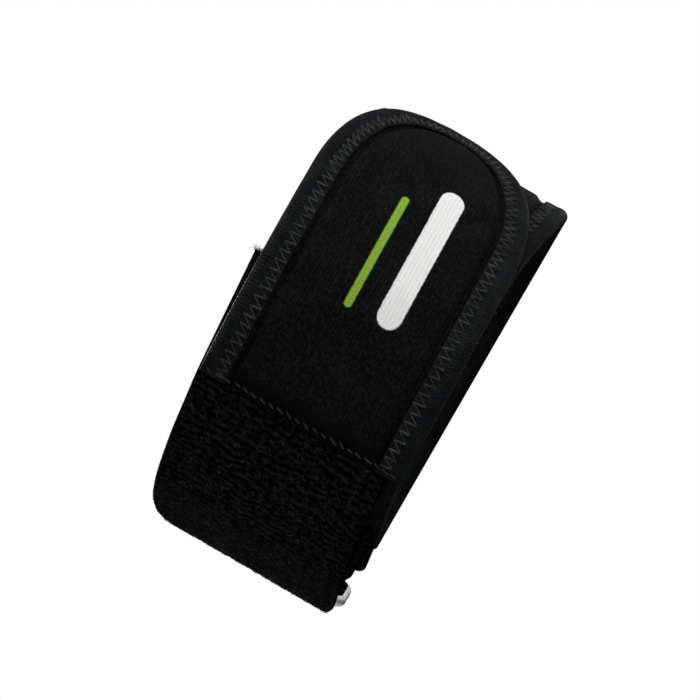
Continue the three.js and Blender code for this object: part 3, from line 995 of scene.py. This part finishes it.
def lay_pile(name, way, end, width, loops, place, draw, seed):
    """Scatters short loops of yarn over the outer run of a webbing, most of them beside its fold."""
    start = way.fold_end - PILE_BEFORE_FOLD_END
    root_along = start + (end - start) * draw.uniform(0, 1, loops) ** PILE_CROWDING
    root_across = draw.uniform(PILE_MARGIN, width - PILE_MARGIN, loops)
    turns = draw.uniform(0, 2 * math.pi, loops)
    lengths = draw.uniform(*PILE_LONG, loops) * MM
    lifts = draw.uniform(*PILE_LIFT, loops) * MM
    roots = np.column_stack((root_along, root_across))
    return add_fibres(name, roots, turns, lengths, lifts, PILE_HALF, place, seed)


draw = np.random.default_rng(51)
strap_pile = lay_pile(
    "pull_strap_pile", strap_way, strap_tab_start, WEBBING_WIDTH, PILE_LOOPS, on_strap, draw, seed=52
)
frayed_across = WEBBING_WIDTH * draw.uniform(0, 1, FRAYED_FIBRES) ** FRAY_CROWDING
frayed_along = np.full(FRAYED_FIBRES, strap_way.length - FRAY_ROOT_IN)
strap_fray = add_fibres(
    "pull_strap_fray",
    np.column_stack((frayed_along, frayed_across)),
    draw.normal(*FRAY_TURN, FRAYED_FIBRES),
    draw.uniform(*FRAY_LONG, FRAYED_FIBRES) * MM,
    draw.uniform(*FRAY_LIFT, FRAYED_FIBRES) * MM,
    FRAY_HALF,
    on_strap_end,
    seed=53,
)

# The ring's loop
# A shorter piece of the same webbing, folded round the ring's rear bar.
# Its two plies lie one on the other and are sewn on the band's rear end.
LOOP_WIDTH = 42.5 * MM
LOOP_INNER_PLY = [
    (-124, ON_BAND, *AT_RING),
    (-115, ON_BAND, *AT_RING),
    (-106, ON_BAND, *AT_RING),
    (-100, 3.4, *AT_RING),
]
LOOP_OUTER_PLY = [
    (-100, 7, *AT_RING),
    (-106, ON_LAP, *AT_RING),
    (-115, ON_LAP, *AT_RING),
    (-124, ON_LAP, *AT_RING),
]
loop_way = Webbing(LOOP_INNER_PLY, -1, LOOP_OUTER_PLY, -1)


def no_gathers(x, y):
    return np.zeros_like(x)


loop_places = even_places(0, loop_way.length, RIB_PITCH / 4)
loop = lay_webbing("ring_loop_webbing", loop_way, LOOP_WIDTH, loop_places, no_gathers)
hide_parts("ring_loop")

# The loop's stitches and pile
# A box of straight stitches, of the same thread, goes through both plies and the band.
# The same loose yarn stands from the loop's face as from the strap's.
LOOP_STITCH = 2.4 * MM
LOOP_STITCH_PITCH = 3.2 * MM
LOOP_BOX_IN = 3 * MM
LOOP_BOX_LONG = 14 * MM
LOOP_PILE = 1500


def straight(start, end):
    """A row of straight stitches between two places."""
    start, end = np.array(start), np.array(end)
    span = np.linalg.norm(end - start)
    onward = (end - start) / span
    middles = (np.arange(int(span / LOOP_STITCH_PITCH)) + 0.5) * LOOP_STITCH_PITCH
    half = LOOP_STITCH / 2
    return [(start + onward * (middle - half), start + onward * (middle + half)) for middle in middles]


def box_stitch(low, high):
    corners = [low, (high[0], low[1]), high, (low[0], high[1])]
    sides = zip(corners, corners[1:] + corners[:1])
    return np.array([stitch for start, end in sides for stitch in straight(start, end)])


def on_loop(x, y, rise):
    return loop_way.lay(x, y / LOOP_WIDTH, WEBBING_HALF + WEBBING_RELIEF / 3 + rise)


loop_box = box_stitch(
    (loop_way.length - LOOP_BOX_IN - LOOP_BOX_LONG, LOOP_BOX_IN),
    (loop_way.length - LOOP_BOX_IN, LOOP_WIDTH - LOOP_BOX_IN),
)
loop_stitches = sew("ring_loop_stitches", [(loop_box, THREAD_PROUD)], on_loop)
draw = np.random.default_rng(61)
loop_pile = lay_pile(
    "ring_loop_pile", loop_way, loop_way.length, LOOP_WIDTH, LOOP_PILE, on_loop, draw, seed=62
)

# The ring
# Bright plated steel wire, bent to a rectangle with tight round corners.
# It is welded shut in its rear bar, inside the loop.
RING_SIDES = 20
CORNER_STEPS = 10
RING_COLOUR = (0.66, 0.66, 0.68, 1)
RING_SCUFFED = (0.36, 0.36, 0.38, 1)
RING_SCUFF_LIMITS = (0.45, 0.8)
RING_RELIEF = 0.1 * MM

bright_wire, shader, tree = start_finish("bright_wire", {"Metallic": 1.0})
place = tree.node("ShaderNodeTexCoord", out="Object")
scuffs = specks(tree, place, 900, detail=4.0)
feed(
    shader,
    {
        "Base Color": between(scuffs, *RING_SCUFF_LIMITS).mix(RING_COLOUR, RING_SCUFFED),
        "Roughness": scuffs * 0.16 + 0.05,
        "Normal": bump(scuffs, 0.06, RING_RELIEF),
    },
)

bm = bmesh.new()
corner_wide = ring_bar - RING_CORNER
corner_long = (RING_LENGTH - RING_WIRE) / 2 - RING_CORNER
section = bmesh.ops.create_circle(bm, segments=RING_SIDES, radius=RING_WIRE / 2)
bmesh.ops.translate(bm, verts=section["verts"], vec=(ring_bar, 0, -corner_long))
front = bm.edges[:]
for corner_x, corner_z, way in (
    (corner_wide, corner_long, Vector((0, 0, 2 * corner_long))),
    (-corner_wide, corner_long, Vector((-2 * corner_wide, 0, 0))),
    (-corner_wide, -corner_long, Vector((0, 0, -2 * corner_long))),
    (corner_wide, -corner_long, Vector((2 * corner_wide, 0, 0))),
):
    drawn = bmesh.ops.extrude_edge_only(bm, edges=front)["geom"]
    bmesh.ops.translate(bm, verts=[part for part in drawn if isinstance(part, bmesh.types.BMVert)], vec=way)
    bent = bmesh.ops.spin(
        bm,
        geom=[part for part in drawn if isinstance(part, bmesh.types.BMEdge)],
        cent=(corner_x, 0, corner_z),
        axis=(0, -1, 0),
        angle=math.pi / 2,
        steps=CORNER_STEPS,
    )
    front = [part for part in bent["geom_last"] if isinstance(part, bmesh.types.BMEdge)]
bmesh.ops.remove_doubles(bm, verts=bm.verts[:], dist=MERGE)
turn = Matrix.Rotation(math.atan2(ring_onward[1], ring_onward[0]), 4, "Z")
seat = Matrix.Translation((*ring_centre, RING_FOOT + RING_LENGTH / 2))
bmesh.ops.transform(bm, matrix=seat @ turn, verts=bm.verts[:])
ring = add_piece(bm, "wire_ring", bright_wire)
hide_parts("ring")

# The floor
# A pale matt surface that the strap stands on. It fades into the pale room far off and where it is seen
# edge-on, so no line shows where it ends.
FLOOR_COLOUR = (0.80, 0.80, 0.80, 1)
FLOOR_NEAR = 0.14
FLOOR_FAR = 0.50
FLOOR_EDGE_ON = (0.94, 0.985)

pale_floor, shader, tree = start_finish(
    "pale_floor", {"Base Color": FLOOR_COLOUR, "Roughness": 0.9, "Specular IOR Level": 0.1}
)
place = tree.node("ShaderNodeTexCoord", out="Object")
far_off = tree.node("ShaderNodeVectorMath", {"operation": "LENGTH"}, {0: place}, out="Value")
edge_on = tree.node("ShaderNodeLayerWeight", sockets={"Blend": 0.5}, out="Facing")
faded = far_off.math("MAXIMUM", between(far_off, FLOOR_NEAR, FLOOR_FAR), between(edge_on, *FLOOR_EDGE_ON))
solid = Shade(tree.tree, shader.outputs[0])
clear = tree.node("ShaderNodeBsdfTransparent")
fading = tree.node("ShaderNodeMixShader", sockets={0: faded, 1: solid, 2: clear})
tree.tree.links.new(fading.socket, tree.tree.nodes["Material Output"].inputs["Surface"])

bm = bmesh.new()
bmesh.ops.create_circle(bm, cap_ends=True, segments=96, radius=FLOOR_FAR)
floor_mesh = bpy.data.meshes.new("floor")
bm.to_mesh(floor_mesh)
bm.free()
floor_mesh.materials.append(pale_floor)
floor = bpy.data.objects.new("floor", floor_mesh)
bpy.context.collection.objects.link(floor)

# The room's light
# An even pale room that shows as white, with less light from low down. One soft lamp hangs over the strap,
# one stands in front on the side of the tab's tip, a weak one on the ring's side, and one behind.
ROOM_COLOUR = (0.96, 0.96, 0.96, 1)
ROOM_SEEN = (1, 1, 1, 1)
ROOM_BRIGHT_SIDE = (0.6, 0.0, 0.8)
ROOM_LIMITS = (-0.5, 0.9)
ROOM_LEAST = 0.03
ROOM_RISE = 0.45
LAMP_AIM = Vector((0, 0, 30 * MM))

room = bpy.data.worlds.new("room")
room.use_nodes = True
bpy.context.scene.world = room
tree = Shade(room.node_tree)
seen = tree.node("ShaderNodeLightPath", out="Is Camera Ray")
direction = tree.node("ShaderNodeTexCoord", out="Generated")
both_ways = {0: direction, 1: ROOM_BRIGHT_SIDE}
towards = tree.node("ShaderNodeVectorMath", {"operation": "DOT_PRODUCT"}, both_ways, out="Value")
strength = between(towards, *ROOM_LIMITS) * ROOM_RISE + ROOM_LEAST
shine = tree.node("ShaderNodeBackground", sockets={"Color": ROOM_COLOUR, "Strength": strength})
show = tree.node("ShaderNodeBackground", sockets={"Color": ROOM_SEEN, "Strength": 1.0})
both = tree.node("ShaderNodeMixShader", sockets={0: seen, 1: shine, 2: show})
room.node_tree.links.new(both.socket, room.node_tree.nodes["World Output"].inputs["Surface"])


def add_lamp(name, place, size, power):
    lamp = bpy.data.lights.new(name, "AREA")
    lamp.shape = "DISK"
    lamp.size = size
    lamp.energy = power
    lamp_object = bpy.data.objects.new(name, lamp)
    lamp_object.location = place
    lamp_object.rotation_euler = (LAMP_AIM - Vector(place)).to_track_quat("-Z", "Y").to_euler()
    bpy.context.collection.objects.link(lamp_object)


add_lamp("over", (0.20, -0.10, 0.95), size=0.8, power=8.5)
add_lamp("front", (0.78, -0.42, 0.42), size=0.45, power=6.0)
add_lamp("ring_side", (-0.80, -0.30, 0.25), size=0.4, power=0.7)
add_lamp("back", (-0.22, 0.85, 0.40), size=0.5, power=9.0)

# The camera
# Square on to the tab, close over the floor and looking slightly up, and rolled so that the strap runs down
# the picture as in the photograph.
LENS = 220
FIELD = 165 * MM
ELEVATION = math.radians(-1.5)
ROLL = math.radians(-60)
AIM = Vector((0, -10 * MM, 29 * MM))

camera_data = bpy.data.cameras.new("camera")
camera_data.lens = LENS
camera_data.clip_end = 20
distance = FIELD / camera_data.sensor_width * LENS
back = Vector((0, -math.cos(ELEVATION), math.sin(ELEVATION)))
camera = bpy.data.objects.new("camera", camera_data)
camera.location = AIM + back * distance
level = (-back).to_track_quat("-Z", "Y").to_matrix().to_4x4()
camera.rotation_euler = (level @ Matrix.Rotation(ROLL, 4, "Z")).to_euler()
bpy.context.collection.objects.link(camera)
bpy.context.scene.camera = camera
bpy.context.scene.view_settings.view_transform = "Standard"
